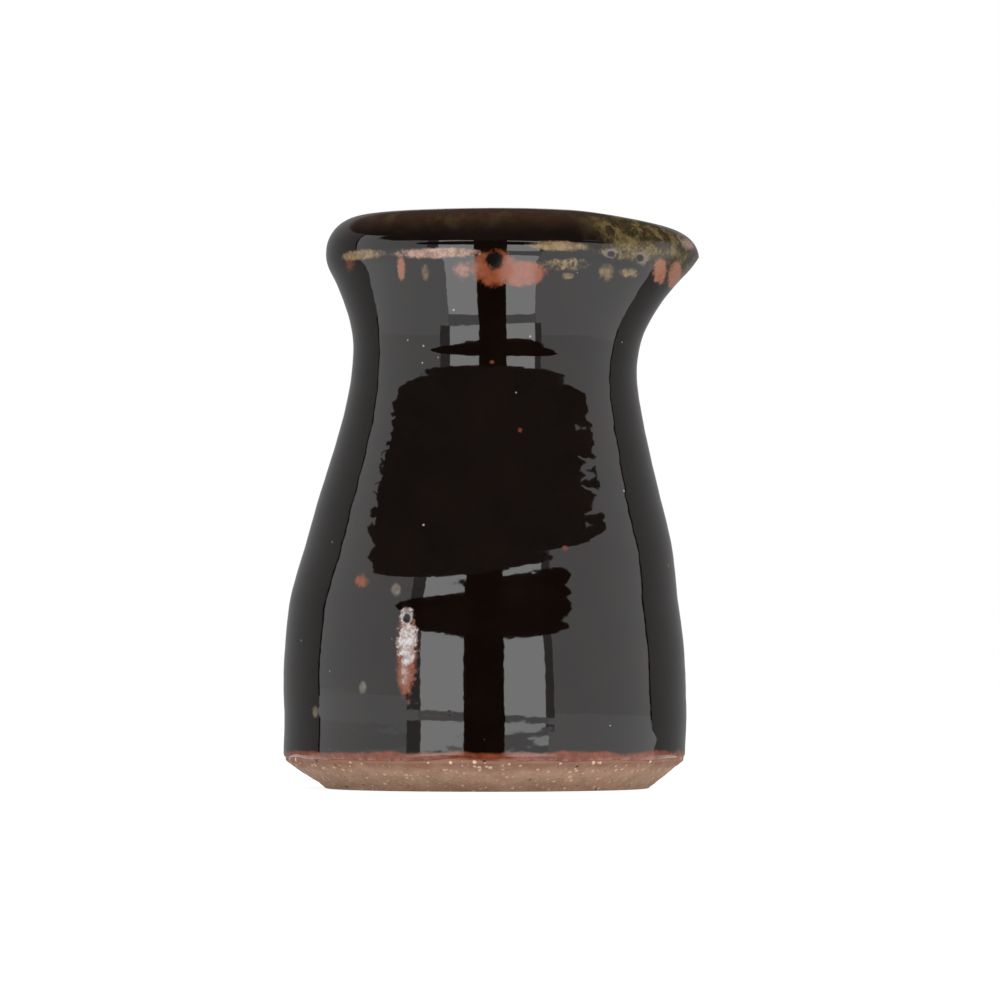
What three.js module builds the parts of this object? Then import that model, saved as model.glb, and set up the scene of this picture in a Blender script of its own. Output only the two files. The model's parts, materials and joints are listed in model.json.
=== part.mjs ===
// Stoneware pourer: a small thrown jug with a rounded collar, one pulled spout and no handle.
// Units are millimetres. +Z is up, the foot stands on z = 0 and the spout points along +X.

import * as THREE from "three";

// Foot
const BEVEL_HEIGHT = 4.5;
const BEVEL_WIDTH = 6.1;
const FOOT_OFFSET = 0.4; // the bevel was cut by hand, so the resting face lies off centre
const BARE_MARGIN = 1.2; // unglazed clay between the bevel and the glaze line
const CORNER_STEP = 0.2; // how far the bevel's upper corner lies inside the belly's radius

// Outer wall, over the glaze
const HEIGHT = 89.9;
const BELLY_RADIUS = 31.7;
const BELLY_HEIGHT = 15;
const WAIST_RADIUS = 22.2;
const WAIST_BELOW_CREST = 18.9;
const BELLY_FULLNESS = 0.45; // share of the wall's height over which the belly holds its width
const WAIST_FULLNESS = 0.34;

// Collar and crest
const COLLAR_OVERHANG = 3.9;
const COLLAR_ROUNDING = 6;
const COLLAR_UNDERSIDE = 27; // degrees that the rounding continues below the widest edge
const COLLAR_FLARE = 0.3; // share of the height below the collar that each end of the flare pulls on
const CREST_ROUNDING = 1.6;

// Inside
const CLAY_WALL = 3.6;
const FLOOR_THICKNESS = 6;
const FLOOR_CORNER = 11;
const COLLAR_WALL = 5.7; // from the collar's widest edge to the hollow behind it
const FLOOR_DISH = 0.6; // the floor is this much lower in its middle

// Glaze coats
const OUTER_GLAZE = 0.5;
const RIM_GLAZE = 0.3;
const LINER_GLAZE = 0.4;
const EDGE_GLAZE = 0.35;
const EDGE_HEIGHT = 1.8;

// Spout, pulled out of the collar
const SPOUT_REACH = 6.6;
const SPOUT_HALF_ANGLE = 56;
const SPOUT_ROOT_BELOW_CREST = 26.9;
const SPOUT_SWEEP = 1.8; // how sharply the throat curves out towards the lip
const LIP_DROP = 1.8;
const UNDERSIDE_DROP = 0.4;

// Lean of the thrown wall
const LEAN_START = 20;
const WAIST_LEAN = 1.5;
const COLLAR_RETURN = 0.5;

// Fineness of the facets
const STATIONS = 48;
const CROWDING = 0.25; // stations stand closer together at the spout
const ON_AXIS = 1e-6;

// Places that follow from the sizes
const glazeLine = BEVEL_HEIGHT + BARE_MARGIN;
const edgeTop = glazeLine + EDGE_HEIGHT;
const waistHeight = HEIGHT - WAIST_BELOW_CREST;
const spoutRoot = HEIGHT - SPOUT_ROOT_BELOW_CREST;
const cornerRadius = BELLY_RADIUS - CORNER_STEP;
const collarRadius = WAIST_RADIUS + COLLAR_OVERHANG;
const collarCentre = new THREE.Vector2(collarRadius - COLLAR_ROUNDING, HEIGHT - COLLAR_ROUNDING);
const wallThickness = OUTER_GLAZE + CLAY_WALL + LINER_GLAZE;
const floorHeight = FLOOR_THICKNESS + LINER_GLAZE;
const hollowRadius = collarRadius - COLLAR_WALL;
const crestEdge = new THREE.Vector2(collarCentre.x - CREST_ROUNDING, HEIGHT - CREST_ROUNDING);

// Profile pieces, as radius and height

function point(radius, height) {
  return new THREE.Vector2(radius, height);
}

// A curve that leaves and arrives straight up or straight down.
function upright(from, to, fromShare, toShare, steps) {
  const rise = to.y - from.y;
  const leave = point(from.x, from.y + fromShare * rise);
  const arrive = point(to.x, to.y - toShare * rise);
  return new THREE.CubicBezierCurve(from, leave, arrive, to).getPoints(steps);
}

function arc(centre, radius, startDegrees, endDegrees, steps) {
  const start = THREE.MathUtils.degToRad(startDegrees);
  const end = THREE.MathUtils.degToRad(endDegrees);
  const curve = new THREE.EllipseCurve(centre.x, centre.y, radius, radius, start, end, end < start);
  return curve.getPoints(steps);
}

// The belly's lower wall swells gently from the bevel's corner to its widest ring.
function lowerWall(fromHeight, toHeight, steps) {
  const points = [];
  for (let i = 0; i <= steps; i++) {
    const height = THREE.MathUtils.lerp(fromHeight, toHeight, i / steps);
    const below = (BELLY_HEIGHT - height) / (BELLY_HEIGHT - BEVEL_HEIGHT);
    points.push(point(BELLY_RADIUS - CORNER_STEP * below * below, height));
  }
  return points;
}

function flareBelowCollar() {
  const angle = THREE.MathUtils.degToRad(COLLAR_UNDERSIDE);
  const from = point(WAIST_RADIUS, waistHeight);
  const to = point(
    collarCentre.x + COLLAR_ROUNDING * Math.cos(angle),
    collarCentre.y - COLLAR_ROUNDING * Math.sin(angle),
  );
  const pull = COLLAR_FLARE * (to.y - from.y);
  const leave = point(from.x, from.y + pull);
  const arrive = point(to.x - pull * Math.sin(angle), to.y - pull * Math.cos(angle));
  return new THREE.CubicBezierCurve(from, leave, arrive, to).getPoints(5);
}

function floorCorner() {
  const wallRadius = BELLY_RADIUS - wallThickness;
  const from = point(wallRadius, floorHeight + FLOOR_CORNER);
  const corner = point(wallRadius, floorHeight);
  const to = point(wallRadius - FLOOR_CORNER, floorHeight);
  return new THREE.QuadraticBezierCurve(from, corner, to).getPoints(4);
}

// The glazed surface runs up the outside, over the crest and down the inside to the floor's middle.
// Each stretch of it carries its own coat.
function glazedStretches() {
  const innerWaist = point(WAIST_RADIUS - wallThickness, waistHeight);
  const innerBelly = point(BELLY_RADIUS - wallThickness, floorHeight + FLOOR_CORNER);
  const hollow = point(hollowRadius, collarCentre.y);
  const edge = lowerWall(glazeLine, edgeTop, 2);
  const outside = [
    ...lowerWall(edgeTop, BELLY_HEIGHT, 2),
    ...upright(point(BELLY_RADIUS, BELLY_HEIGHT), innerWaist.clone().setX(WAIST_RADIUS),
      BELLY_FULLNESS, WAIST_FULLNESS, 8),
    ...flareBelowCollar(),
    ...arc(collarCentre, COLLAR_ROUNDING, -COLLAR_UNDERSIDE, 0, 2),
  ];
  const rim = [
    ...arc(collarCentre, COLLAR_ROUNDING, 0, 90, 5),
    ...arc(point(collarCentre.x, crestEdge.y), CREST_ROUNDING, 90, 180, 3),
    ...upright(crestEdge, hollow, 0.4, 0.5, 2),
  ];
  const inside = [
    ...upright(hollow, innerWaist, 0.4, 0.4, 3),
    ...upright(innerWaist, innerBelly, WAIST_FULLNESS, BELLY_FULLNESS, 6),
    ...floorCorner(),
    point(0, floorHeight - FLOOR_DISH),
  ];
  return [
    { points: edge, thickness: EDGE_GLAZE },
    { points: outside, thickness: OUTER_GLAZE },
    { points: rim, thickness: RIM_GLAZE },
    { points: inside, thickness: LINER_GLAZE },
  ];
}

// Joins the stretches into one chain without doubled points, and notes where each one starts and ends.
function joinStretches(stretches) {
  const surface = [];
  const thickness = [];
  const spans = [];
  for (const stretch of stretches) {
    const start = Math.max(surface.length - 1, 0);
    for (const p of stretch.points) {
      const last = surface[surface.length - 1];
      if (last && last.distanceTo(p) < 1e-3) {
        continue;
      }
      surface.push(p);
      thickness.push(stretch.thickness);
    }
    spans.push([start, surface.length - 1]);
  }
  return { surface, thickness, spans };
}

// The clay's own surface lies under the glaze by the coat's thickness, square to the glazed surface.
function clayUnder(surface, thickness) {
  const last = surface.length - 1;
  return surface.map((p, i) => {
    if (i === last) {
      return point(0, p.y - thickness[i]);
    }
    const ahead = surface[i + 1];
    const behind = surface[Math.max(i - 1, 0)];
    const along = ahead.clone().sub(behind).normalize();
    return point(p.x - along.y * thickness[i], p.y + along.x * thickness[i]);
  });
}

// The thrown wall leans a little, and the bevelled foot was cut slightly to one side.
function centreLine(height) {
  const foot = FOOT_OFFSET * (1 - THREE.MathUtils.smoothstep(height, 0, BEVEL_HEIGHT));
  const lean = WAIST_LEAN * THREE.MathUtils.smoothstep(height, LEAN_START, waistHeight);
  const back = COLLAR_RETURN * THREE.MathUtils.smoothstep(height, waistHeight, HEIGHT);
  return foot + lean - back;
}

// Places a profile point at an angle from the spout, drawn out and down where the spout was pulled.
function place(radius, height, angle) {
  const half = THREE.MathUtils.degToRad(SPOUT_HALF_ANGLE);
  const turn = Math.abs(Math.atan2(Math.sin(angle), Math.cos(angle))) / half;
  const across = turn < 1 ? Math.cos((Math.PI / 2) * turn) ** 2 : 0;
  const rise = THREE.MathUtils.clamp((height - spoutRoot) / (collarCentre.y - spoutRoot), 0, 1);
  const pull = across * rise ** SPOUT_SWEEP;
  const crest = THREE.MathUtils.clamp((height - collarCentre.y) / COLLAR_ROUNDING, 0, 1);
  const drop = pull * THREE.MathUtils.lerp(UNDERSIDE_DROP, LIP_DROP, crest);
  const drawn = radius + SPOUT_REACH * pull;
  return [
    drawn * Math.cos(angle) + centreLine(height),
    drawn * Math.sin(angle),
    height - drop,
  ];
}

function stationAngle(i) {
  const even = (2 * Math.PI * i) / STATIONS;
  return even - CROWDING * Math.sin(even);
}

// Turns a closed profile round the axis. Facets are split the same way whichever way the profile runs,
// so that a coat and the clay under it share their facets.
function revolve(loop) {
  const positions = [];
  const first = [];
  const onAxis = loop.map((p) => p.x < ON_AXIS);
  loop.forEach((p, j) => {
    first.push(positions.length / 3);
    const copies = onAxis[j] ? 1 : STATIONS;
    for (let i = 0; i < copies; i++) {
      positions.push(...place(p.x, p.y, onAxis[j] ? Math.PI : stationAngle(i)));
    }
  });
  const vertex = (j, i) => first[j] + (onAxis[j] ? 0 : i % STATIONS);
  const facets = [];
  for (let j = 0; j < loop.length; j++) {
    const k = (j + 1) % loop.length;
    if (onAxis[j] && onAxis[k]) {
      continue;
    }
    const climbs = loop[k].y > loop[j].y;
    for (let i = 0; i < STATIONS; i++) {
      const corners = [vertex(j, i), vertex(j, i + 1), vertex(k, i + 1), vertex(k, i)];
      facets.push(...splitQuad(corners, climbs === i < STATIONS / 2));
    }
  }
  const geometry = new THREE.BufferGeometry();
  geometry.setAttribute("position", new THREE.Float32BufferAttribute(positions, 3));
  geometry.setIndex(facets);
  geometry.computeVertexNormals();
  return geometry;
}

function splitQuad([a, b, c, d], rising) {
  if (a === b) {
    return [a, c, d];
  }
  if (c === d) {
    return [a, b, c];
  }
  return rising ? [a, b, c, a, c, d] : [a, b, d, b, c, d];
}

function coatLoop(surface, clay, [start, end]) {
  const over = surface.slice(start, end + 1);
  const under = clay.slice(start, end + 1).reverse();
  return [...over, ...under];
}

function clayLoop(clay) {
  const footFace = [point(0, 0), point(cornerRadius - BEVEL_WIDTH, 0)];
  return [...footFace, point(cornerRadius, BEVEL_HEIGHT), ...clay];
}

function piece(name, loop, color, roughness) {
  const material = new THREE.MeshStandardMaterial({ color, roughness, metalness: 0 });
  const mesh = new THREE.Mesh(revolve(loop), material);
  mesh.name = name;
  return mesh;
}

function buildPourer() {
  const { surface, thickness, spans } = joinStretches(glazedStretches());
  const clay = clayUnder(surface, thickness);
  const [edge, outside, rim, inside] = spans;
  const pourer = new THREE.Group();
  pourer.add(piece("clay_body", clayLoop(clay), 0xa98a70, 0.85));
  pourer.add(piece("foot_glaze_edge", coatLoop(surface, clay, edge), 0x7a3a1c, 0.3));
  pourer.add(piece("outer_glaze", coatLoop(surface, clay, outside), 0x17120f, 0.08));
  pourer.add(piece("rim_glaze", coatLoop(surface, clay, rim), 0x5a4520, 0.15));
  pourer.add(piece("liner_glaze", coatLoop(surface, clay, inside), 0x17120f, 0.1));
  return pourer;
}

export default buildPourer();
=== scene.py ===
"""Stoneware pourer: its visible clay and glaze, the light that they are seen in, and the camera."""

import json
import logging
import math
from dataclasses import dataclass, field
from enum import Enum
from functools import cache

import bpy
import numpy as np
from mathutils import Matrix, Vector, noise

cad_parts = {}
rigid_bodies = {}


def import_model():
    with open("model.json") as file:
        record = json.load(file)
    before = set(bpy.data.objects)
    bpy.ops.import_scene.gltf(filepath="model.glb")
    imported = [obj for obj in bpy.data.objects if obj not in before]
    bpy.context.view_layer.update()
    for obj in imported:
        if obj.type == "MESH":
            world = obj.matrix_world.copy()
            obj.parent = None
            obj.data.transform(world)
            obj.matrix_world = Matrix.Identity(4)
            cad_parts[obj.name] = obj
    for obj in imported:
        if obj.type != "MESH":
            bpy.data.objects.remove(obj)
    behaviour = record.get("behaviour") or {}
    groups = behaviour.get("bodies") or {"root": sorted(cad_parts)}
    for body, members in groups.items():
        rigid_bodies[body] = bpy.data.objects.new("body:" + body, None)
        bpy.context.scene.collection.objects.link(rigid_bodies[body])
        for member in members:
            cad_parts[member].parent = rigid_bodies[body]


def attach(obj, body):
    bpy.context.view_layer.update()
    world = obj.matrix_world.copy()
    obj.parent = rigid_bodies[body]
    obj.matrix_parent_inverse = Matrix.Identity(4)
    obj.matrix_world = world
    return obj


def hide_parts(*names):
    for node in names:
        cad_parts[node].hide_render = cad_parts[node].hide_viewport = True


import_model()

log = logging.getLogger("pourer")

MM = 0.001
MM_PER_PIXEL = 0.15734
WHITE = (1, 1, 1, 1)
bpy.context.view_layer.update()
Colour = tuple[float, float, float]
Pair = tuple[float, float]
Socket = bpy.types.NodeSocket
Feed = Socket | float | tuple
Thing = bpy.types.Object


class Slot(Enum):
    """The record's material slots."""

    BARE_CLAY = "bare_clay"
    BLACK_GLAZE = "black_glaze"
    INNER_GLAZE = "inner_glaze"


def only(thing: Thing) -> None:
    """Makes one object the selected and active one.

    Args:
        thing: the object to work on next.
    """
    for other in bpy.context.view_layer.objects:
        other.select_set(other == thing)
    bpy.context.view_layer.objects.active = thing


def smoothstep(low: float, high: float, value: np.ndarray) -> np.ndarray:
    """Eases numbers from 0 at low to 1 at high."""
    share = np.clip((value - low) / (high - low), 0.0, 1.0)
    return share * share * (3 - 2 * share)


@dataclass(frozen=True)
class Knot:
    """One knot of a lathe outline, in millimetres, with the handles that shape the curve there."""

    radius: float
    height: float
    back: Pair = (0.0, 0.0)
    ahead: Pair = (0.0, 0.0)
    cuts: int = 0

    def point(self, away: Pair = (0.0, 0.0)) -> Vector:
        """Gives the knot's place, or that of one of its handles, in metres."""
        return Vector((self.radius + away[0], 0, self.height + away[1])) * MM


@dataclass(frozen=True)
class Swing:
    """A small swing of the wall away from its centre line, in millimetres."""

    height: float
    reach: float
    shift: float

    def at(self, height: np.ndarray) -> np.ndarray:
        """Gives the shift at each height."""
        return self.shift * np.exp(-(((height - self.height) / self.reach) ** 2))


@dataclass(frozen=True)
class ThrownForm:
    """The pot's form as it left the wheel and the hand, in millimetres."""

    height: float = 89.9
    belly_radius: float = 31.65
    belly_height: float = 15.0
    belly_fullness: float = 0.45
    waist_radius: float = 22.2
    waist_height: float = 69.6
    waist_fullness: float = 0.29
    collar_radius: float = 26.1
    collar_rounding: float = 6.0
    collar_underside: float = 27.0
    collar_flare: float = 0.3
    crest_rounding: float = 1.6
    hollow_radius: float = 20.4
    wall: float = 4.5
    floor_height: float = 6.4
    floor_corner: float = 11.0
    floor_dish: float = 0.6
    bevel_height: float = 4.5
    foot_radius: float = 25.4
    corner_radius: float = 31.5
    glaze_line: float = 4.95
    spout_reach: float = 6.6
    spout_half_angle: float = 56.0
    spout_root: float = 63.0
    spout_sweep: float = 1.8
    lip_drop: float = 1.8
    underside_drop: float = 0.4
    foot_offset: float = 0.4
    lean_start: float = 20.0
    waist_lean: float = 1.5
    collar_return: float = 0.5
    quarter_arm: float = 4 / 3 * math.tan(math.pi / 8)
    side_swings: tuple[Swing, ...] = (Swing(39, 5, 0.2), Swing(29.5, 4.5, -0.22))
    forward_swings: tuple[Swing, ...] = (Swing(57, 6, 0.12), Swing(38, 6, 0.16))
    foot_swing: Swing = Swing(11, 4, 0.16)
    foot_swing_from: Pair = (5, 9)

    @property
    def collar_centre(self) -> Pair:
        """The centre of the collar's rounding, as radius and height."""
        return self.collar_radius - self.collar_rounding, self.height - self.collar_rounding

    def hollow_knot(self, inset: float, cuts: int) -> Knot:
        """Gives the widest knot of the hollow behind the collar, where the two coats meet."""
        return Knot(self.hollow_radius + inset, self.collar_centre[1], (0, 1.8), (0, -4.5), 2 * cuts)

    def outer_knots(self, inset: float, cuts: int) -> list[Knot]:
        """Gives the outline from the belly up over the crest to the hollow behind the collar.

        Args:
            inset: how far the outline lies inside the glazed surface.
            cuts: how finely the outline is cut, where 1 is coarse.

        Returns:
            The knots, from the belly upwards.
        """
        rise = self.waist_height - self.belly_height
        centre_r, centre_z = self.collar_centre
        rounding = self.collar_rounding - inset
        angle = math.radians(self.collar_underside)
        low_r = centre_r + rounding * math.cos(angle)
        low_z = centre_z - rounding * math.sin(angle)
        pull = self.collar_flare * (low_z - self.waist_height)
        arm = 4 / 3 * math.tan(angle / 4) * rounding
        quarter = self.quarter_arm * rounding
        crest = self.crest_rounding - inset * 0.5
        tip = self.quarter_arm * crest
        edge_z = self.height - self.crest_rounding
        slope_r = math.sin(angle)
        slope_z = math.cos(angle)
        belly_arm = (0, self.belly_fullness * rise)
        waist_arm = (0, -self.waist_fullness * rise)
        return [
            Knot(self.belly_radius - inset, self.belly_height, (0, -3), belly_arm, 8 * cuts),
            Knot(self.waist_radius - inset, self.waist_height, waist_arm, (0, pull), 2 * cuts),
            Knot(low_r, low_z, (-slope_r * pull, -slope_z * pull), (slope_r * arm, slope_z * arm), cuts),
            Knot(centre_r + rounding, centre_z, (0, -arm), (0, quarter), 3 * cuts),
            Knot(centre_r, centre_z + rounding, (quarter, 0), (-tip, 0), cuts),
            Knot(centre_r - crest, edge_z, (0, tip), (0, -1.6), cuts),
            self.hollow_knot(inset, cuts),
        ]

    def inner_knots(self, inset: float, cuts: int) -> list[Knot]:
        """Gives the outline from the hollow behind the collar down to the middle of the floor.

        Args:
            inset: how far the outline lies under the glazed surface.
            cuts: how finely the outline is cut, where 1 is coarse.

        Returns:
            The knots, from the hollow downwards.
        """
        belly = self.belly_radius - self.wall + inset
        waist = self.waist_radius - self.wall + inset
        turn_z = self.floor_height + self.floor_corner
        fall = self.waist_height - turn_z
        arm = 0.6 * self.floor_corner
        floor_z = self.floor_height - inset
        flat_r = self.belly_radius - self.wall - self.floor_corner
        waist_arm = (0, -self.waist_fullness * fall)
        return [
            self.hollow_knot(inset, cuts),
            Knot(waist, self.waist_height, (0, 5), waist_arm, 6 * cuts),
            Knot(belly, turn_z, (0, self.belly_fullness * fall), (0, -arm), 2 * cuts),
            Knot(flat_r, floor_z, (arm, 0), (-5, -0.1), 2 * cuts),
            Knot(0, floor_z - self.floor_dish, (4, 0)),
        ]

    def centre_line(self, height: np.ndarray) -> tuple[np.ndarray, np.ndarray]:
        """Says where the wall's own centre lies at a height, with the small leans that throwing left.

        Args:
            height: heights above the table.

        Returns:
            The centre's shift along X and along Y.
        """
        foot = self.foot_offset * (1 - smoothstep(0, self.bevel_height, height))
        lean = self.waist_lean * smoothstep(self.lean_start, self.waist_height, height)
        back = self.collar_return * smoothstep(self.waist_height, self.height, height)
        side = sum(swing.at(height) for swing in self.side_swings)
        nudge = self.foot_swing.at(height) * smoothstep(*self.foot_swing_from, height)
        forward = sum(swing.at(height) for swing in self.forward_swings)
        return foot + lean - back + side + nudge, -forward

    def place(self, radius: np.ndarray, angle: np.ndarray, height: np.ndarray) -> np.ndarray:
        """Puts points of the lathe form where the pulled, leaning pot has them.

        Args:
            radius: distance from the wheel's axis.
            angle: angle from the spout, in radians.
            height: height above the table.

        Returns:
            One row of x, y and z in millimetres for each point.
        """
        _, centre_z = self.collar_centre
        turn = np.abs(np.arctan2(np.sin(angle), np.cos(angle))) / math.radians(self.spout_half_angle)
        across = np.where(turn < 1, np.cos(np.clip(turn, 0, 1) * math.pi / 2) ** 2, 0)
        rise = np.clip((height - self.spout_root) / (centre_z - self.spout_root), 0, 1)
        pull = across * rise**self.spout_sweep
        crest = np.clip((height - centre_z) / self.collar_rounding, 0, 1)
        drop = pull * (self.underside_drop + (self.lip_drop - self.underside_drop) * crest)
        drawn = radius + self.spout_reach * pull
        shift_x, shift_y = self.centre_line(height)
        x = drawn * np.cos(angle) + shift_x
        y = drawn * np.sin(angle) + shift_y
        return np.column_stack((x, y, height - drop))


FORM = ThrownForm()


@dataclass
class LathePiece:
    """A piece turned from an outline and then pulled into the pot's form."""

    name: str
    knots: list[Knot]
    stations: int
    finish: "IronGlaze | BareClay"
    stands_for: tuple[str, ...]
    slot: Slot
    body: str = "root"
    points_per_cut: int = 4
    crowding: float = 0.3
    crowded_at: float = -math.pi / 4
    thickness: float = 0.0
    weld: float = 0.002
    thing: Thing | None = field(default=None, init=False)

    def outline(self) -> Thing:
        """Draws the outline as a curve in the XZ plane and makes it an edge chain.

        Returns:
            The outline as a mesh object.
        """
        bpy.ops.curve.primitive_bezier_curve_add(location=(0, 0, 0))
        wire = bpy.context.active_object
        wire.name = self.name
        spline = wire.data.splines[0]
        spline.bezier_points.add(len(self.knots) - len(spline.bezier_points))
        for place, knot in zip(spline.bezier_points, self.knots):
            place.handle_left_type = "FREE"
            place.handle_right_type = "FREE"
            place.co = knot.point()
            place.handle_left = knot.point(knot.back)
            place.handle_right = knot.point(knot.ahead)
        wire.data.resolution_u = self.points_per_cut
        bpy.ops.object.mode_set(mode="EDIT")
        for i in reversed(range(len(self.knots) - 1)):
            self.cut_stretch(wire, i)
        bpy.ops.object.mode_set(mode="OBJECT")
        only(wire)
        bpy.ops.object.convert(target="MESH")
        return bpy.context.active_object

    def cut_stretch(self, wire: Thing, index: int) -> None:
        """Cuts the stretch that follows a knot, without changing its shape.

        Args:
            wire: the curve, in edit mode.
            index: the knot's number.
        """
        if not self.knots[index].cuts:
            return
        places = wire.data.splines[0].bezier_points
        for i, place in enumerate(places):
            chosen = i in (index, index + 1)
            place.select_control_point = chosen
            place.select_left_handle = chosen
            place.select_right_handle = chosen
        bpy.ops.curve.subdivide(number_cuts=self.knots[index].cuts)

    def turn(self) -> None:
        """Spins the outline round the wheel's axis."""
        self.thing = self.outline()
        only(self.thing)
        bpy.ops.object.mode_set(mode="EDIT")
        bpy.ops.mesh.select_all(action="SELECT")
        bpy.ops.mesh.spin(steps=self.stations, angle=2 * math.pi, center=(0, 0, 0), axis=(0, 0, 1))
        bpy.ops.mesh.select_all(action="SELECT")
        bpy.ops.mesh.remove_doubles(threshold=self.weld * MM)
        bpy.ops.mesh.normals_make_consistent(inside=False)
        bpy.ops.object.mode_set(mode="OBJECT")
        bpy.ops.object.shade_smooth()

    def pull(self) -> None:
        """Moves every point of the spun shell to its place on the pulled, leaning pot."""
        mesh = self.thing.data
        points = np.empty(len(mesh.vertices) * 3)
        mesh.vertices.foreach_get("co", points)
        points = points.reshape(-1, 3) / MM
        radius = np.hypot(points[:, 0], points[:, 1])
        even = np.arctan2(points[:, 1], points[:, 0])
        angle = even - self.crowding * np.sin(even - self.crowded_at)
        height = self.settle(radius, angle, points[:, 2])
        placed = FORM.place(radius, angle, height)
        mesh.vertices.foreach_set("co", (placed * MM).ravel())
        mesh.update()
        normals = np.empty(len(mesh.vertices) * 3)
        mesh.vertices.foreach_get("normal", normals)
        relief = self.relief(placed)
        placed += normals.reshape(-1, 3) * relief[:, None]
        mesh.vertices.foreach_set("co", (placed * MM).ravel())
        mesh.update()

    def thicken(self) -> None:
        """Gives a coat its thickness, on the side that its normals point away from."""
        if not self.thickness:
            return
        only(self.thing)
        solid = self.thing.modifiers.new("coat", "SOLIDIFY")
        solid.thickness = self.thickness * MM
        solid.offset = -1
        solid.use_rim = True
        bpy.ops.object.modifier_apply(modifier=solid.name)

    def settle(self, radius: np.ndarray, angle: np.ndarray, height: np.ndarray) -> np.ndarray:
        """Gives the heights as they are, where no edge is uneven."""
        return height

    def relief(self, placed: np.ndarray) -> np.ndarray:
        """Gives how far each point stands out from the smooth form: not at all."""
        return np.zeros(len(placed))

    def build(self) -> None:
        """Models the piece, gives it its finish and puts it on the frame."""
        self.turn()
        self.pull()
        self.thicken()
        self.thing.data.materials.clear()
        self.thing.data.materials.append(self.finish.material(self.thing))
        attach(self.thing, self.body)
        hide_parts(*self.stands_for)
        log.info("%s: %d faces", self.name, len(self.thing.data.polygons))


def hand_noise(points: np.ndarray, scale: float, seed: float) -> np.ndarray:
    """Gives soft noise from about -1 to 1 at points, with waves of so many millimetres."""
    away = Vector((seed, seed * 1.7, -seed))
    return np.array([noise.noise(Vector(p) / scale + away) for p in points])


@dataclass
class GlazeCoat(LathePiece):
    """A coat of glaze: the faint rings of throwing show through it, and its foot edge runs unevenly."""

    ring_height: float = 0.012
    ring_spacing: float = 5.2
    swell: float = 0.035
    sink: float = 0.03
    edge_wave: float = 0.32
    edge_reach: float = 9.0
    edge_circle: float = 9.0
    outside_from: float = 29.0
    rings_from: Pair = (8, 14)

    def settle(self, radius: np.ndarray, angle: np.ndarray, height: np.ndarray) -> np.ndarray:
        """Lets the lower edge of the coat run up and down round the foot.

        Args:
            radius: distance from the axis.
            angle: angle round the pot.
            height: even heights.

        Returns:
            Heights with the edge's wave.
        """
        flat = np.zeros(len(angle))
        ring = np.column_stack((np.cos(angle) * self.edge_circle, np.sin(angle) * self.edge_circle, flat))
        wave = hand_noise(ring, 3.1, 4.0) + 0.45 * hand_noise(ring, 1.1, 9.0)
        outside = radius > self.outside_from
        share = (1 - smoothstep(FORM.glaze_line + 0.3, self.edge_reach, height)) * outside
        return height + self.edge_wave * wave * share

    def relief(self, placed: np.ndarray) -> np.ndarray:
        """Gives the height of the throwing rings and of the hand's slow swells.

        Args:
            placed: the points on the smooth form.

        Returns:
            The height of the relief in millimetres.
        """
        angle = np.arctan2(placed[:, 1], placed[:, 0])
        climb = placed[:, 2] / self.ring_spacing + angle / (2 * math.pi)
        rings = np.sin(2 * math.pi * climb) + 0.6 * np.sin(4 * math.pi * climb + 1.3)
        fade = smoothstep(*self.rings_from, placed[:, 2])
        swells = self.swell * hand_noise(placed, 13.0, 2.0)
        return self.ring_height * rings * fade + swells - self.sink


@dataclass
class ClayBody(LathePiece):
    """The clay: its bare bevel keeps the small flats and dents of the knife."""

    cut_depth: float = 0.2
    grain_height: float = 0.085
    bare_to: Pair = (5.0, 5.6)
    clear_of_table: Pair = (0.02, 0.6)

    def relief(self, placed: np.ndarray) -> np.ndarray:
        """Gives the knife's marks and the grain of the bare foot.

        Args:
            placed: the points on the smooth form.

        Returns:
            The height of the relief in millimetres.
        """
        bare = 1 - smoothstep(*self.bare_to, placed[:, 2])
        above = smoothstep(*self.clear_of_table, placed[:, 2])
        relief = np.zeros(len(placed))
        near = np.nonzero(bare > 0)[0]
        marks = hand_noise(placed[near], 5.0, 6.0)
        grain = hand_noise(placed[near], 0.7, 3.0)
        relief[near] = self.cut_depth * marks * above[near] - self.cut_depth * 0.5 * above[near]
        relief[near] += self.grain_height * (grain - 0.5) * above[near]
        return relief * bare


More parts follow.
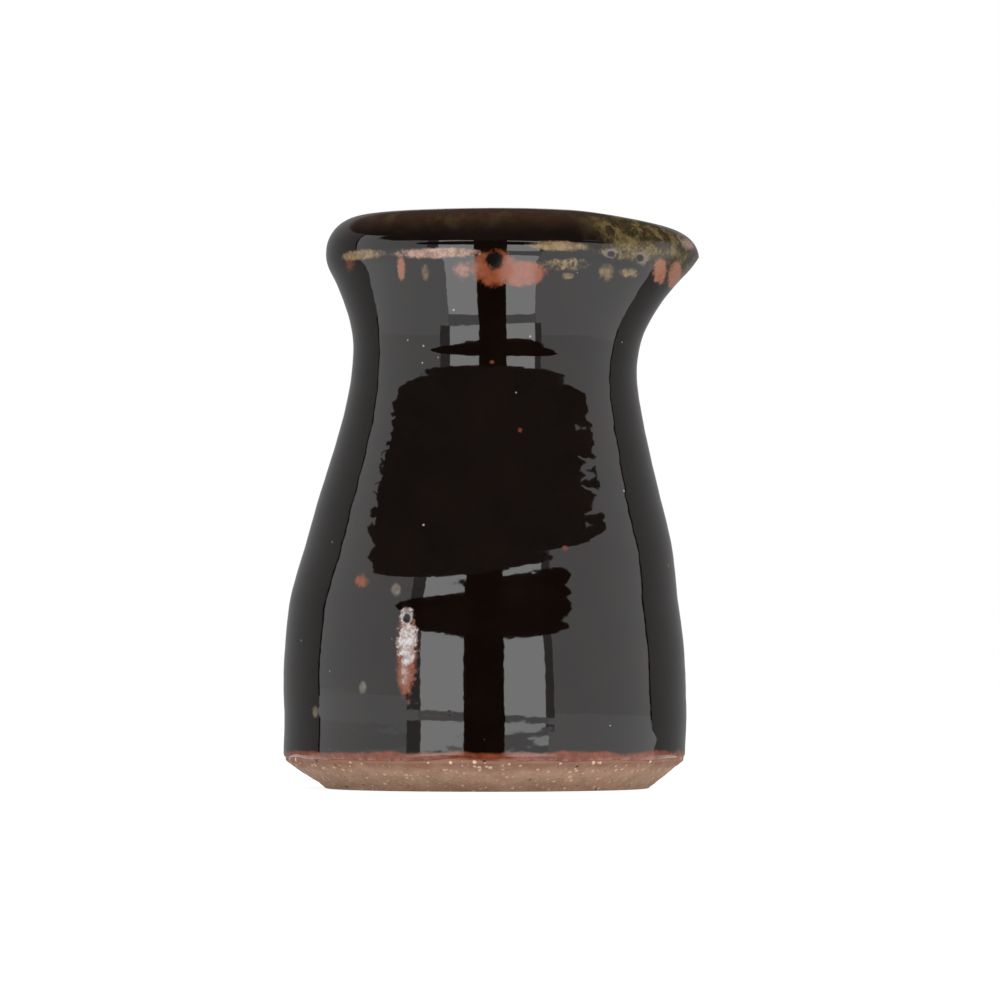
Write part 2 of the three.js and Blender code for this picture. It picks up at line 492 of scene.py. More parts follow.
class Graph:
    """A node tree, with short ways to add nodes and to join them."""

    def __init__(self, tree: bpy.types.NodeTree) -> None:
        """Keeps the tree that is worked on."""
        self.tree = tree

    def feed(self, socket: Socket, value: Feed) -> None:
        """Joins a socket to another one, or sets its number.

        Args:
            socket: the input to feed.
            value: an output socket, a number, a vector or a colour.
        """
        if isinstance(value, Socket):
            self.tree.links.new(value, socket)
        else:
            socket.default_value = value

    def add(self, kind: str, inputs: dict | None = None, **settings: object) -> bpy.types.Node:
        """Adds a node.

        Args:
            kind: the node's type.
            inputs: what feeds its inputs, by name or number.
            settings: the node's own settings.

        Returns:
            The new node.
        """
        node = self.tree.nodes.new(kind)
        for name, value in settings.items():
            setattr(node, name, value)
        for key, value in (inputs or {}).items():
            self.feed(node.inputs[key], value)
        return node

    def math(self, operation: str, *values: Feed) -> Socket:
        """Adds a sum and gives its result."""
        return self.add("ShaderNodeMath", dict(enumerate(values)), operation=operation).outputs[0]

    def times(self, first: Feed, second: Feed) -> Socket:
        """Multiplies two numbers."""
        return self.math("MULTIPLY", first, second)

    def plus(self, first: Feed, second: Feed) -> Socket:
        """Adds two numbers."""
        return self.math("ADD", first, second)

    def vector(self, operation: str, *values: Feed) -> Socket:
        """Adds a sum of vectors and gives its vector."""
        return self.add("ShaderNodeVectorMath", dict(enumerate(values)), operation=operation).outputs[0]

    def mix(self, share: Feed, first: Feed, second: Feed) -> Socket:
        """Blends two colours, where the share says how much of the second one shows."""
        inputs = {0: share, 6: first, 7: second}
        return self.add("ShaderNodeMix", inputs, data_type="RGBA").outputs[2]

    def ease(self, value: Feed, low: Feed, high: Feed, first: float = 0.0, last: float = 1.0) -> Socket:
        """Turns a number into a soft step that starts at low with first and ends at high with last."""
        inputs = {"Value": value, "From Min": low, "From Max": high, "To Min": first, "To Max": last}
        return self.add("ShaderNodeMapRange", inputs, interpolation_type="SMOOTHSTEP").outputs[0]

    def band(self, length: Feed, limits: Pair, first: float = 0.0, last: float = 1.0) -> Socket:
        """Turns a length in metres into a soft step between two limits in millimetres."""
        return self.ease(length, limits[0] * MM, limits[1] * MM, first, last)

    def noise(self, place: Feed, size: float, detail: float = 2.0, roughness: float = 0.5) -> Socket:
        """Gives noise round 0.5 at a place in metres, with waves of a size in millimetres."""
        inputs = {"Vector": place, "Scale": 1 / (size * MM), "Detail": detail, "Roughness": roughness}
        return self.add("ShaderNodeTexNoise", inputs).outputs["Fac"]

    def wavering_height(self, place: Feed, size: float, detail: float, reach: float) -> Socket:
        """Gives a place's height in metres, moved up and down by noise of a reach in millimetres."""
        waver = self.times(self.math("SUBTRACT", self.noise(place, size, detail), 0.5), reach * MM)
        return self.plus(self.axis(place, "Z"), waver)

    def scatter(self, place: Feed, scale: float, share: float, size: float) -> Socket:
        """Gives the mask of specks in a share of the cells, by cells in a metre and size in a cell."""
        inputs = {"Place": place, "Scale": scale, "Share": share, "Size": size}
        return self.add("ShaderNodeGroup", inputs, node_tree=GroupMaker.specks()).outputs["Mask"]

    def here(self) -> Socket:
        """Gives the object's own coordinates."""
        return self.add("ShaderNodeTexCoord").outputs["Object"]

    def axis(self, place: Feed, name: str) -> Socket:
        """Gives one coordinate of a place."""
        return self.add("ShaderNodeSeparateXYZ", {0: place}).outputs[name]


class GroupMaker:
    """Makes each shared node group once and hands it out after that."""

    @staticmethod
    def start(name: str, vectors: list[str], numbers: list[str]) -> tuple[Graph, dict, Socket]:
        """Starts an empty group that gives a mask.

        Args:
            name: the group's name.
            vectors: the names of its vector inputs.
            numbers: the names of its number inputs.

        Returns:
            The group's graph, its input sockets by name and the socket that its mask feeds.
        """
        tree = bpy.data.node_groups.new(name, "ShaderNodeTree")
        kinds = dict.fromkeys(vectors, "NodeSocketVector") | dict.fromkeys(numbers, "NodeSocketFloat")
        for label, kind in kinds.items():
            tree.interface.new_socket(name=label, in_out="INPUT", socket_type=kind)
        tree.interface.new_socket(name="Mask", in_out="OUTPUT", socket_type="NodeSocketFloat")
        graph = Graph(tree)
        entry = graph.add("NodeGroupInput")
        leave = graph.add("NodeGroupOutput")
        return graph, {label: entry.outputs[label] for label in kinds}, leave.inputs["Mask"]

    @classmethod
    @cache
    def patch(cls) -> bpy.types.NodeTree:
        """Makes the mask of one ragged spot on the surface.

        Returns:
            The group: place, centre, half size, raggedness and softness in, mask out.
        """
        graph, given, mask = cls.start("ragged spot", ["Place", "Centre", "Half size"], ["Ragged", "Soft"])
        away = graph.vector("SUBTRACT", given["Place"], given["Centre"])
        scaled = graph.vector("DIVIDE", away, given["Half size"])
        length = graph.add("ShaderNodeVectorMath", {0: scaled}, operation="LENGTH").outputs["Value"]
        coarse = graph.math("SUBTRACT", graph.noise(given["Place"], 1.1, 6.0, 0.72), 0.5)
        edge = graph.plus(length, graph.times(coarse, given["Ragged"]))
        low = graph.math("SUBTRACT", 1.0, given["Soft"])
        graph.feed(mask, graph.ease(edge, low, 1.0, 1.0, 0.0))
        return graph.tree

    @classmethod
    @cache
    def specks(cls) -> bpy.types.NodeTree:
        """Makes the mask of scattered specks.

        Returns:
            The group: place, number of cells, share and speck size in, mask out.
        """
        graph, given, mask = cls.start("scattered specks", ["Place"], ["Scale", "Share", "Size"])
        cells = graph.add("ShaderNodeTexVoronoi", {"Vector": given["Place"], "Scale": given["Scale"]})
        own = graph.axis(cells.outputs["Color"], "X")
        other = graph.axis(cells.outputs["Color"], "Y")
        present = graph.math("LESS_THAN", own, given["Share"])
        reach = graph.times(given["Size"], graph.plus(0.45, other))
        inner = graph.times(reach, 0.6)
        round_mask = graph.ease(cells.outputs["Distance"], inner, reach, 1.0, 0.0)
        graph.feed(mask, graph.times(present, round_mask))
        return graph.tree


@dataclass(frozen=True)
class PhotoCamera:
    """A camera that shows the pot as the photograph does, in millimetres."""

    place: tuple[float, float, float] = (2.45, -956.6, 21.7)
    looks_at: tuple[float, float, float] = (2.45, 0.0, 45.3)
    lens: float = 218.9
    sensor: float = 36.0
    pixels: int = 1000
    clip_start: float = 10.0

    def build(self) -> None:
        """Sets the camera up."""
        bpy.ops.object.camera_add(location=Vector(self.place) * MM)
        camera = bpy.context.active_object
        camera.rotation_euler = self.aim().to_track_quat("-Z", "Y").to_euler()
        camera.data.lens = self.lens
        camera.data.sensor_width = self.sensor
        camera.data.clip_start = self.clip_start * MM
        camera.data.dof.use_dof = False
        bpy.context.scene.camera = camera

    def aim(self) -> Vector:
        """Gives the direction in which the camera looks."""
        return (Vector(self.looks_at) - Vector(self.place)).normalized()

    def ray(self, column: float, row: float) -> Vector:
        """Gives the direction of the ray through a pixel of the photograph.

        Args:
            column: the pixel's column.
            row: the pixel's row.

        Returns:
            The ray's direction.
        """
        half = self.sensor / 2 / self.lens
        turn = self.aim().to_track_quat("-Z", "Y")
        across = (column / self.pixels * 2 - 1) * half
        up = (1 - row / self.pixels * 2) * half
        return (turn @ Vector((across, up, -1))).normalized()

    def hit(self, thing: Thing, column: float, row: float) -> Vector:
        """Finds the place on a piece that a pixel of the photograph shows.

        Args:
            thing: the piece.
            column: the pixel's column.
            row: the pixel's row.

        Returns:
            The place in metres.
        """
        bpy.context.view_layer.update()
        found, place, _, _ = thing.ray_cast(Vector(self.place) * MM, self.ray(column, row))
        if not found:
            log.warning("no surface at pixel %s, %s", column, row)
        return place


CAMERA = PhotoCamera()


@dataclass(frozen=True)
class Patch:
    """One mark on the glaze, by the pixel where the photograph shows it: most are marks of the firing, and
    the pink one on the collar's edge is partly a painted reflection.
    """

    column: float
    row: float
    half_width: float
    half_height: float
    colour: Colour
    strength: float = 1.0
    roughness: float = 0.0
    ragged: float = 0.8
    soft: float = 0.5
    depth: float = 4.0
    mottled: float = 0.0
    sunk: float = 0.0

    def mask(self, graph: Graph, here: Feed, thing: Thing) -> Socket:
        """Makes the mark's mask.

        Args:
            graph: the material's nodes.
            here: the object's coordinates.
            thing: the piece that carries the mark.

        Returns:
            The mask, from 0 to 1.
        """
        scale = MM_PER_PIXEL * MM
        half = (self.half_width * scale, self.depth * MM, self.half_height * scale)
        inputs = {
            "Place": here,
            "Centre": tuple(CAMERA.hit(thing, self.column, self.row)),
            "Half size": half,
            "Ragged": self.ragged,
            "Soft": self.soft,
        }
        mask = graph.add("ShaderNodeGroup", inputs, node_tree=GroupMaker.patch()).outputs["Mask"]
        if self.mottled:
            grain = graph.ease(graph.noise(here, 0.9, 4.0, 0.7), 0.36, 0.62)
            mask = graph.times(mask, graph.plus(1 - self.mottled, graph.times(grain, self.mottled)))
        return graph.times(mask, self.strength)


RUST = (0.20, 0.048, 0.018)
ORANGE = (0.27, 0.065, 0.022)
OLIVE = (0.062, 0.040, 0.014)
GOLD = (0.27, 0.18, 0.085)
# Pale pink: the glaze's break on the spout's lip, and on the collar's edge partly a painted reflection.
PINK_BREAK_AND_REFLECTION = (0.46, 0.28, 0.21)
PETAL = (0.36, 0.14, 0.08)
ASH = (0.20, 0.18, 0.15)
SILVER = (0.60, 0.58, 0.57)
OCHRE = (0.19, 0.14, 0.045)
SMOKE = (0.20, 0.16, 0.14)
INK = (0.003, 0.002, 0.0015)
BROWN = (0.035, 0.016, 0.009)
TAN = (0.22, 0.16, 0.10)

# Each row holds column, row, half width, half height, colour, strength, roughness, ragged, soft, depth
# and mottled.
FIRING_AND_REFLECTION_MARKS = (
    Patch(407, 652, 12, 48, RUST, 1.0, 0.25, 1.3, 0.4, 5, 0.3),
    Patch(404, 676, 8, 22, RUST, 1.0, 0.25, 1.0, 0.4, 5, 0.2),
    Patch(407, 643, 11, 24, SILVER, 1.0, 0.4, 2.2, 0.4, 4, 0.7),
    Patch(405, 672, 5, 16, SILVER, 0.6, 0.4, 2.4, 0.8, 4, 0.9),
    Patch(407, 616, 8, 9, SILVER, 0.8, 0.2, 1.5, 0.4, 3, 0.8),
    Patch(407, 618, 5, 6, INK, 1.0, 0.3, 0.9, 0.4, 3, sunk=1.0),
    Patch(396, 590, 6, 8, ASH, 0.8, 0.3, 1.2, 0.6, 3, 0.4),
    Patch(363, 688, 5, 8, ASH, 0.8, 0.3, 1.2, 0.6, 3, 0.4),
    Patch(315, 712, 4, 7, TAN, 0.7, 0.3, 1.2, 0.6, 3, 0.4),
    Patch(362, 581, 8, 8, ORANGE, 0.9, 0.2, 1.5, 0.6, 3, 0.4),
    Patch(450, 713, 3, 3, INK, 1.0, 0.5, 0.3, 0.4, 3, sunk=1.0),
    Patch(492, 362, 3, 2.5, RUST, 0.7, 0.2, 0.6, 0.6, 3),
    Patch(520, 430, 3, 3, RUST, 0.6, 0.2, 0.6, 0.6, 3),
    Patch(565, 548, 4, 3, RUST, 0.6, 0.2, 0.6, 0.6, 3),
    Patch(494, 268, 26, 20, ORANGE, 1.0, 0.15, 1.1, 0.35, 5, 0.25),
    Patch(522, 273, 27, 14, ORANGE, 1.0, 0.15, 1.0, 0.35, 5, 0.25),
    Patch(494, 260, 10, 11, INK, 1.0, 0.0, 1.4, 0.4, 4),
    Patch(606, 272, 9, 10, GOLD, 0.8, 0.15, 1.8, 0.6, 4, 0.5),
    Patch(606, 290, 4, 12, INK, 0.9, 0.0, 0.8, 0.6, 4),
    Patch(628, 273, 11, 5, GOLD, 1.0, 0.2, 2.2, 0.6, 4, 0.4),
    Patch(565, 264, 26, 7, GOLD, 1.0, 0.2, 2.4, 0.6, 4, 1.0),
    Patch(567, 276, 6, 4, GOLD, 0.8, 0.2, 2.0, 0.6, 3, 0.4),
    Patch(632, 252, 46, 11, OCHRE, 1.0, 0.15, 2.2, 0.7, 9, 1.0),
    Patch(660, 272, 8, 15, PETAL, 1.0, 0.2, 1.2, 0.4, 10, 0.2),
    Patch(675, 277, 9, 17, PETAL, 1.0, 0.2, 1.2, 0.4, 10, 0.2),
    Patch(688, 244, 10, 8, PINK_BREAK_AND_REFLECTION, 0.6, 0.2, 1.4, 0.7, 9, 0.4),
    Patch(642, 258, 8, 8, SMOKE, 0.8, 0.3, 1.0, 0.5, 9),
    Patch(610, 253, 9, 6, SMOKE, 0.8, 0.3, 1.2, 0.5, 7),
    Patch(640, 258, 5, 4.5, INK, 0.9, 0.3, 0.8, 0.4, 9, sunk=1.0),
    Patch(611, 254, 5, 3.5, INK, 0.9, 0.3, 0.8, 0.4, 7, sunk=1.0),
    Patch(350, 262, 6, 12, RUST, 0.8, 0.1, 1.8, 0.7, 6, 0.5),
    Patch(401, 268, 5, 13, PETAL, 1.0, 0.1, 1.4, 0.5, 5, 0.3),
    Patch(425, 272, 5, 10, GOLD, 0.6, 0.1, 1.8, 0.7, 5, 0.5),
    Patch(462, 270, 11, 10, PETAL, 0.9, 0.1, 1.8, 0.7, 5, 0.5),
    Patch(360, 255, 32, 6, GOLD, 1.0, 0.2, 1.1, 0.5, 8, 0.5),
    # Partly painted reflection: the pinkish line along the collar's widest edge is the panel mirrored over
    # the rust-coloured break.
    Patch(436, 253, 52, 6, PINK_BREAK_AND_REFLECTION, 1.0, 0.3, 1.2, 0.5, 9, 0.5),
    Patch(560, 246, 36, 6, GOLD, 1.0, 0.2, 1.1, 0.5, 8, 0.5),
)


def new_material(name: str) -> tuple[bpy.types.Material, Graph]:
    """Makes an empty material.

    Args:
        name: its name.

    Returns:
        The material and its nodes.
    """
    material = bpy.data.materials.new(name)
    material.use_nodes = True
    material.node_tree.nodes.clear()
    return material, Graph(material.node_tree)


@dataclass(frozen=True)
class IronGlaze:
    """Black-brown iron glaze that breaks to brown, olive and rust where it runs thin; a painted highlight
    lies on the bead at its lower edge, and a painted reflection on the collar's edge.
    """

    name: str = "iron glaze"
    deep: Colour = (0.0042, 0.0022, 0.0016)
    cloudy: Colour = (0.006, 0.003, 0.002)
    thin: Colour = (0.030, 0.014, 0.008)
    dusty: Colour = (0.050, 0.034, 0.014)
    fleck_dark: Colour = (0.022, 0.015, 0.007)
    fleck_light: Colour = (0.15, 0.11, 0.038)
    star: Colour = (0.30, 0.26, 0.22)
    rust_dark: Colour = (0.15, 0.028, 0.009)
    rust_light: Colour = (0.24, 0.060, 0.020)
    # Colour of the painted highlight on the glaze's rounded bead at the foot edge.
    painted_bead_highlight: Colour = (0.42, 0.24, 0.19)
    ior: float = 1.6
    gloss: float = 0.035
    foot_roughness: float = 0.12
    rim_roughness: float = 0.16
    rim_band: Pair = (85.4, 89.4)
    spout_band: Pair = (13.0, 21.0)
    run_band: Pair = (12.0, 30.0)
    spout_run: float = 7.0
    foot_band: Pair = (5.7, 6.3)
    # Heights of the painted highlight along the bead.
    bead_highlight_band: Pair = (4.8, 5.5)
    pit_depth: float = 6.0
    rim_skin: float = 3.0
    bump: float = 0.008
    marks: tuple[Patch, ...] = FIRING_AND_REFLECTION_MARKS

    def rim_mask(self, graph: Graph, here: Feed) -> Socket:
        """Makes the mask of the thin glaze over the collar's crest.

        Args:
            graph: the material's nodes.
            here: the object's coordinates.

        Returns:
            The mask.
        """
        height = graph.wavering_height(here, 5.0, 4.0, 3.4)
        drop = graph.times(graph.band(graph.axis(here, "X"), self.run_band), self.spout_run * MM)
        return graph.band(graph.plus(height, drop), self.rim_band)

    def foot_mask(self, graph: Graph, here: Feed) -> Socket:
        """Makes the mask of the rust-coloured run-out above the bare foot."""
        height = graph.wavering_height(here, 5.0, 2.0, 1.7)
        return graph.band(height, self.foot_band, 1.0, 0.0)

    def crest_colour(self, graph: Graph, here: Feed, grain: Feed) -> Socket:
        """Makes the colour of the thin glaze on the crest and on the spout.

        Args:
            graph: the material's nodes.
            here: the object's coordinates.
            grain: the fine grain of the thin glaze.

        Returns:
            The colour.
        """
        crest = graph.mix(grain, (*self.thin, 1), (*BROWN, 1))
        dust = graph.ease(graph.noise(here, 6.0, 5.0, 0.7), 0.48, 0.66)
        crest = graph.mix(dust, crest, (*self.dusty, 1))
        spout = graph.band(graph.axis(here, "X"), self.spout_band)
        fleck = graph.ease(graph.noise(here, 2.4, 6.0, 0.75), 0.46, 0.62)
        olive = graph.mix(fleck, (*self.fleck_dark, 1), (*self.fleck_light, 1))
        olive = graph.mix(graph.times(grain, 0.4), olive, (*OLIVE, 1))
        return graph.mix(spout, crest, olive)

    def material(self, thing: Thing) -> bpy.types.Material:
        """Makes the glaze.

        Args:
            thing: the piece that wears it.

        Returns:
            The material.
        """
        material, graph = new_material(self.name)
        here = graph.here()
        rim = self.rim_mask(graph, here)
        foot = self.foot_mask(graph, here)
        cloud = graph.ease(graph.noise(here, 7.0, 3.0), 0.4, 0.7)
        colour = graph.mix(cloud, (*self.deep, 1), (*self.cloudy, 1))
        grain = graph.ease(graph.noise(here, 1.1, 6.0, 0.7), 0.38, 0.64)
        colour = graph.mix(rim, colour, self.crest_colour(graph, here, grain))
        colour = graph.mix(graph.scatter(here, 420.0, 0.12, 0.075), colour, (*self.star, 1))
        rust = graph.mix(grain, (*self.rust_dark, 1), (*self.rust_light, 1))
        colour = graph.mix(foot, colour, rust)
        # Painted highlight: a pale speckled line along the coat's lower edge stands for the glints on the
        # glaze's rounded bead.
        low = graph.band(graph.axis(here, "Z"), self.bead_highlight_band, 1.0, 0.0)
        bead_highlight_mask = graph.times(low, graph.ease(graph.noise(here, 1.6, 4.0), 0.42, 0.6))
        colour = graph.mix(graph.times(bead_highlight_mask, 0.55), colour, (*self.painted_bead_highlight, 1))
        rough = graph.plus(self.gloss, graph.times(foot, self.foot_roughness))
        rough = graph.plus(rough, graph.times(rim, self.rim_roughness))
        height = graph.noise(here, 1.7, 1.0)
        for mark in self.marks:
            mask = mark.mask(graph, here, thing)
            colour = graph.mix(mask, colour, (*mark.colour, 1))
            if mark.roughness:
                rough = graph.plus(rough, graph.times(mask, mark.roughness))
            if mark.sunk:
                height = graph.math("SUBTRACT", height, graph.times(mask, mark.sunk * self.pit_depth))
        skin = graph.times(graph.times(graph.noise(here, 0.8, 3.0), rim), self.rim_skin)
        height = graph.plus(height, skin)
        bump = graph.add("ShaderNodeBump", {"Height": height, "Distance": self.bump * MM, "Strength": 1.0})
        inputs = {"Base Color": colour, "Roughness": rough, "IOR": self.ior, "Normal": bump.outputs[0]}
        shader = graph.add("ShaderNodeBsdfPrincipled", inputs)
        graph.add("ShaderNodeOutputMaterial", {"Surface": shader.outputs[0]})
        return material


@dataclass(frozen=True)
class BareClay:
    """Bare pinkish-buff stoneware with pale grog, dark pits and a flush of iron under the glaze's edge."""

    name: str = "bare clay"
    low: Colour = (0.37, 0.22, 0.145)
    high: Colour = (0.50, 0.31, 0.215)
    sandy: Colour = (0.58, 0.39, 0.27)
    flush: Colour = (0.24, 0.095, 0.055)
    grog: Colour = (0.78, 0.56, 0.38)
    pit: Colour = (0.10, 0.05, 0.035)
    flush_band: Pair = (2.7, 4.5)
    bump: float = 0.11

    def material(self, thing: Thing) -> bpy.types.Material:
        """Makes the clay.

        Args:
            thing: the piece that wears it; not used.

        Returns:
            The material.
        """
        material, graph = new_material(self.name)
        here = graph.here()
        cloud = graph.ease(graph.noise(here, 3.5, 5.0, 0.65), 0.34, 0.66)
        colour = graph.mix(cloud, (*self.low, 1), (*self.high, 1))
        sand = graph.ease(graph.noise(here, 0.35, 3.0, 0.7), 0.40, 0.62)
        colour = graph.mix(graph.times(sand, 0.55), colour, (*self.sandy, 1))
        height = graph.wavering_height(here, 2.6, 4.0, 2.2)
        line = graph.band(height, self.flush_band)
        colour = graph.mix(graph.times(line, 0.75), colour, (*self.flush, 1))
        grog = graph.scatter(here, 1150.0, 0.5, 0.36)
        colour = graph.mix(grog, colour, (*self.grog, 1))
        moved = graph.vector("ADD", here, (0.013, 0.007, 0.019))
        pits = graph.scatter(moved, 700.0, 0.22, 0.19)
        colour = graph.mix(pits, colour, (*self.pit, 1))
        relief = graph.plus(graph.noise(here, 0.5, 4.0, 0.7), grog)
        relief = graph.math("SUBTRACT", relief, graph.times(pits, 2.0))
        bump = graph.add("ShaderNodeBump", {"Height": relief, "Distance": self.bump * MM, "Strength": 1.0})
        rough = graph.ease(cloud, 0.0, 1.0, 0.88, 0.78)
        inputs = {"Base Color": colour, "Roughness": rough, "Normal": bump.outputs[0]}
        shader = graph.add("ShaderNodeBsdfPrincipled", inputs)
        graph.add("ShaderNodeOutputMaterial", {"Surface": shader.outputs[0]})
        return material


@dataclass(frozen=True)
class Card:
    """One sheet of the studio that only reflections show, by azimuth from the camera in degrees."""

    name: str
    turn: Pair
    radius: Pair
    height: Pair
    radiance: float
    rows: int = 1
    wave: float = 0.0
    notches: tuple[tuple[float, float, float], ...] = ()
    rounded: bool = False
    dome: float = 0.0

    def edge_shift(self, height: float, side: float) -> float:
        """Says how far an upright edge of the sheet strays at a height.

        Args:
            height: the height in millimetres.
            side: -1 for the first edge, 1 for the last one.

        Returns:
            The shift in degrees.
        """
        shift = self.wave * noise.noise(Vector((height / 11, side * 3.3, 0.4)))
        shift += 0.6 * self.wave * noise.noise(Vector((height / 4.5, side * 7.1, 2.2)))
        for middle, reach, depth in self.notches:
            if side > 0:
                shift -= depth * max(0.0, 1 - abs(height - middle) / reach)
        return shift

    def build(self) -> None:
        """Makes the sheet and puts it on the stage."""
        steps = max(2, int(abs(self.turn[1] - self.turn[0]) / 3))
        bpy.ops.mesh.primitive_grid_add(x_subdivisions=steps, y_subdivisions=self.rows, size=2)
        sheet = bpy.context.active_object
        sheet.name = self.name
        for point in sheet.data.vertices:
            share = (point.co.x + 1) / 2
            climb = (point.co.y + 1) / 2
            if self.rounded:
                climb = 0.5 + (climb - 0.5) * math.sqrt(max(0.0, 1 - (2 * share - 1) ** 2))
            if self.rows > 1:
                climb = climb**2
            radius = self.radius[0] + climb * (self.radius[1] - self.radius[0])
            height = self.height[0] + climb * (self.height[1] - self.height[0])
            height += self.dome * abs(2 * share - 1) ** 5 * (1 - climb)
            first = self.turn[0] + self.edge_shift(height, -1)
            last = self.turn[1] + self.edge_shift(height, 1)
            turn = math.radians(first + share * (last - first))
            point.co = Vector((radius * math.sin(turn), -radius * math.cos(turn), height)) * MM
        sheet.data.materials.append(glow(self.name, self.radiance))
        show_only_in_reflections(sheet)


def seen_directly(graph: Graph) -> Socket:
    """Makes the mask of the rays that show a thing itself or its reflection."""
    path = graph.add("ShaderNodeLightPath")
    return graph.math("MAXIMUM", path.outputs["Is Camera Ray"], path.outputs["Is Glossy Ray"])


def glow(name: str, radiance: float) -> bpy.types.Material:
    """Makes an even glow.

    Args:
        name: the material's name.
        radiance: its brightness.

    Returns:
        The material.
    """
    material, graph = new_material(name)
    light = graph.add("ShaderNodeEmission", {"Color": WHITE, "Strength": radiance})
    graph.add("ShaderNodeOutputMaterial", {"Surface": light.outputs[0]})
    return material


def show_only_in_reflections(sheet: Thing) -> None:
    """Hides a studio sheet from everything but reflections."""
    for ray in ("camera", "diffuse", "shadow", "transmission", "volume_scatter"):
        setattr(sheet, f"visible_{ray}", False)


@dataclass
class Studio:
    """The white table, the white surroundings, the lamps and the sheets that the glaze mirrors."""

    sheet_radius: float = 365.0
    flag_height: float = 156.0
    panel_top: float = 270.0
    world_level: float = 1.0
    fill_level: float = 0.55
    table_glow: float = 0.89
    strip_level: float = 3.0
    flank_level: float = 0.27
    dim_level: float = 0.9
    edge_level: float = 0.3
    shade_level: float = 0.05
    lid_level: float = 0.02
    lid_height: float = 800.0
    left_strip: Pair = (-35.0, -11.5)
    right_strip: Pair = (10.5, 33.0)
    between: Pair = (-11.5, 10.5)
    seam: float = 104.5
    flank: float = 106.0
    behind: float = 175.0
    pot_edge: float = 33.5

    def cards(self) -> list[Card]:
        """Lists the sheets.

        Returns:
            The sheets, in no order that matters.
        """
        ring = (self.sheet_radius, self.sheet_radius)
        low = (0.3, self.flag_height)
        tall = (0.3, self.panel_top)
        wall = (self.flag_height, self.panel_top)
        flat = (0.4, 0.4)
        near = (60, 200)
        far = (200, 362)
        beside = (self.pot_edge, 366)
        return [
            Card(
                "dark wall in front", (-84, 84), (370, 370), wall, self.shade_level,
                rows=90, wave=9.0, notches=((208.0, 10.0, 18.0),), dome=34.0,
            ),
            Card("ceiling wall", (-180, 180), (372, 372), (self.panel_top - 6, 800), self.shade_level),
            Card("flank left on the table", (-self.behind, -self.seam), beside, flat, self.flank_level),
            Card("flank right on the table", (self.seam, self.behind), beside, flat, self.flank_level),
            Card("flank left", (-self.behind, -self.flank), ring, tall, self.flank_level),
            Card("flank right", (self.flank, self.behind), ring, tall, self.flank_level),
            Card("seam left", (-self.flank, -self.seam), ring, tall, 0.0),
            Card("seam right", (self.seam, self.flank), ring, tall, 0.0),
            Card("edge right", (33.0, 38.0), (362, 362), low, self.edge_level),
            Card("edge left", (-43.0, -35.0), (362, 362), low, self.edge_level),
            Card("strip left", self.left_strip, ring, low, self.strip_level),
            Card("strip right", self.right_strip, ring, low, self.strip_level),
            Card("strip left on the table", self.left_strip, near, flat, self.strip_level),
            Card("strip right on the table", self.right_strip, near, flat, self.strip_level),
            Card("dark left on the table", (-36.0, -11.5), far, flat, self.dim_level),
            Card("dark right on the table", (10.5, 34.0), far, flat, self.dim_level),
            Card("middle bar", self.between, (360, 360), low, 0.0),
            Card("middle bar on the table", self.between, (self.pot_edge, 362), (0.5, 0.5), 0.0),
            Card("dark shape above the strips", (-52, 52), (355, 355), (82, 142), 0.0, rounded=True),
        ]

    def ceiling(self) -> None:
        """Puts the dark ceiling above the sheets."""
        place = (0, 0, self.lid_height * MM)
        bpy.ops.mesh.primitive_circle_add(vertices=48, radius=0.4, fill_type="NGON", location=place)
        lid = bpy.context.active_object
        lid.name = "ceiling"
        lid.data.materials.append(glow("ceiling", self.lid_level))
        show_only_in_reflections(lid)

    def table(self) -> None:
        """Lays the white table that keeps the pot's shadow."""
        bpy.ops.mesh.primitive_plane_add(size=8, location=(0, 0, -0.00002))
        table = bpy.context.active_object
        table.name = "table"
        material, graph = new_material("white table")
        paper = graph.noise(graph.here(), 60.0, 2.0)
        shade = graph.mix(paper, (0.20, 0.20, 0.20, 1), (0.22, 0.22, 0.22, 1))
        diffuse = graph.add("ShaderNodeBsdfDiffuse", {"Color": shade})
        light = graph.add("ShaderNodeEmission", {"Color": WHITE, "Strength": self.table_glow})
        shown = graph.add("ShaderNodeAddShader", {0: diffuse.outputs[0], 1: light.outputs[0]})
        bounce = graph.add("ShaderNodeBsdfDiffuse", {"Color": (0.8, 0.8, 0.8, 1)})
        parts = {0: seen_directly(graph), 1: bounce.outputs[0], 2: shown.outputs[0]}
        both = graph.add("ShaderNodeMixShader", parts)
        graph.add("ShaderNodeOutputMaterial", {"Surface": both.outputs[0]})
        table.data.materials.append(material)

    def world(self) -> None:
        """Lights the surroundings: white where they are seen, softer where they only light."""
        world = bpy.data.worlds.new("studio")
        bpy.context.scene.world = world
        world.use_nodes = True
        world.node_tree.nodes.clear()
        graph = Graph(world.node_tree)
        level = graph.ease(seen_directly(graph), 0.0, 1.0, self.fill_level, self.world_level)
        sky = graph.add("ShaderNodeBackground", {"Color": WHITE, "Strength": level})
        graph.add("ShaderNodeOutputWorld", {"Surface": sky.outputs[0]})

    def lamp(self, name: str, place: tuple[float, float, float], size: float, power: float) -> None:
        """Adds a soft lamp that lights the pot but is not mirrored in it.

        Args:
            name: the lamp's name.
            place: where it hangs, in metres.
            size: its side in metres.
            power: its power in watts.
        """
        bpy.ops.object.light_add(type="AREA", location=place)
        lamp = bpy.context.active_object
        lamp.name = name
        aim = Vector((0, 0, 0.04)) - Vector(place)
        lamp.rotation_euler = aim.to_track_quat("-Z", "Y").to_euler()
        lamp.data.shape = "SQUARE"
        lamp.data.size = size
        lamp.data.energy = power
        lamp.visible_glossy = False
        lamp.visible_camera = False

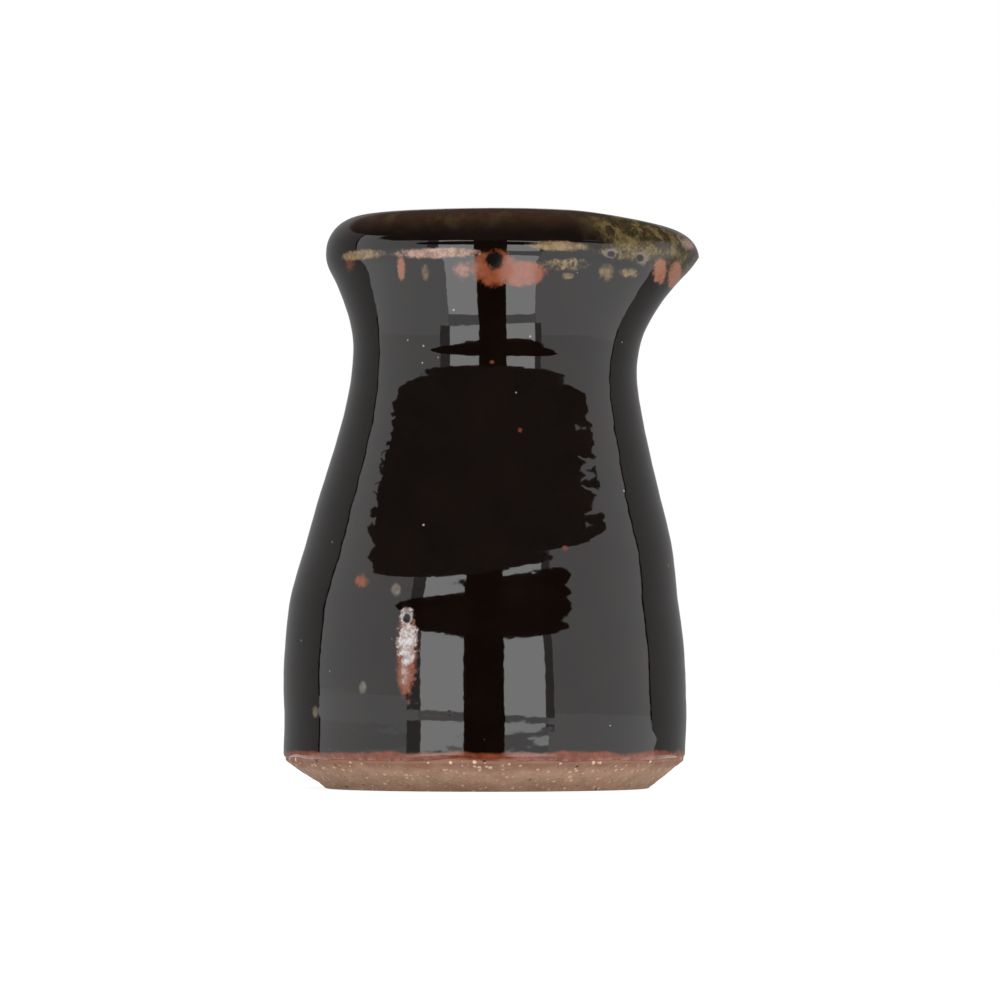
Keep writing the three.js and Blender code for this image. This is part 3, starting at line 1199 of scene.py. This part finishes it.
    def build(self) -> None:
        """Sets the studio up."""
        for card in self.cards():
            card.build()
        self.ceiling()
        self.table()
        self.world()
        self.lamp("lamp left", (-0.9, -0.9, 0.9), 0.9, 9.0)
        self.lamp("lamp right", (1.0, -0.8, 0.9), 0.9, 12.0)
        self.lamp("lamp above", (0.0, 0.2, 1.4), 0.9, 6.0)


def coat_knots() -> list[Knot]:
    """Gives the outline of the glazed outside, from the run-out at the foot over the crest.

    Returns:
        The knots, from the foot to the hollow behind the collar.
    """
    edge = FORM.glaze_line
    start = [
        Knot(31.18, edge - 0.1, (0, 0), (0.25, 0.0), 1),
        Knot(31.6, edge + 0.6, (0, -0.3), (0, 3), 4),
    ]
    return start + FORM.outer_knots(0.0, 2)


def clay_knots() -> list[Knot]:
    """Gives the clay's outline, from the middle of the foot round to the middle of the floor.

    Returns:
        The knots in order.
    """
    bevel = FORM.bevel_height
    foot = FORM.foot_radius
    corner = FORM.corner_radius
    start = [
        Knot(0, 0, (0, 0), (8, 0), 1),
        Knot(foot - 0.3, 0, (-8, 0), (0.2, 0), 1),
        Knot(foot + 0.2, 0.2, (-0.15, -0.15), (2, 1.4), 8),
        Knot(corner - 0.4, bevel - 0.35, (-2, -1.5), (0.3, 0.22), 2),
        Knot(corner - 0.15, bevel + 0.25, (-0.02, -0.3), (0, 0.3), 1),
        Knot(31.1, bevel + 1.3, (0.05, -0.3), (0, 3), 1),
    ]
    under_outer_coat = FORM.outer_knots(0.5, 1)
    under_liner = FORM.inner_knots(0.45, 1)
    return start + under_outer_coat[:-1] + under_liner


def model_pot() -> None:
    """Builds the pot's three visible pieces."""
    outside = ("outer_glaze", "rim_glaze", "foot_glaze_edge")
    skin = coat_knots()
    GlazeCoat("glaze_coat", skin, 264, IronGlaze(), outside, Slot.BLACK_GLAZE, thickness=0.42).build()
    plain = IronGlaze("inner glaze", marks=())
    lining = FORM.inner_knots(0.0, 1)
    GlazeCoat("liner_coat", lining, 240, plain, ("liner_glaze",), Slot.INNER_GLAZE, thickness=0.35).build()
    ClayBody("stoneware_body", clay_knots(), 360, BareClay(), ("clay_body",), Slot.BARE_CLAY).build()


def main() -> None:
    """Builds the camera, the studio and the pot."""
    logging.basicConfig(level=logging.INFO)
    bpy.context.scene.view_settings.view_transform = "Standard"
    CAMERA.build()
    Studio().build()
    model_pot()


if __name__ == "__main__":
    main()
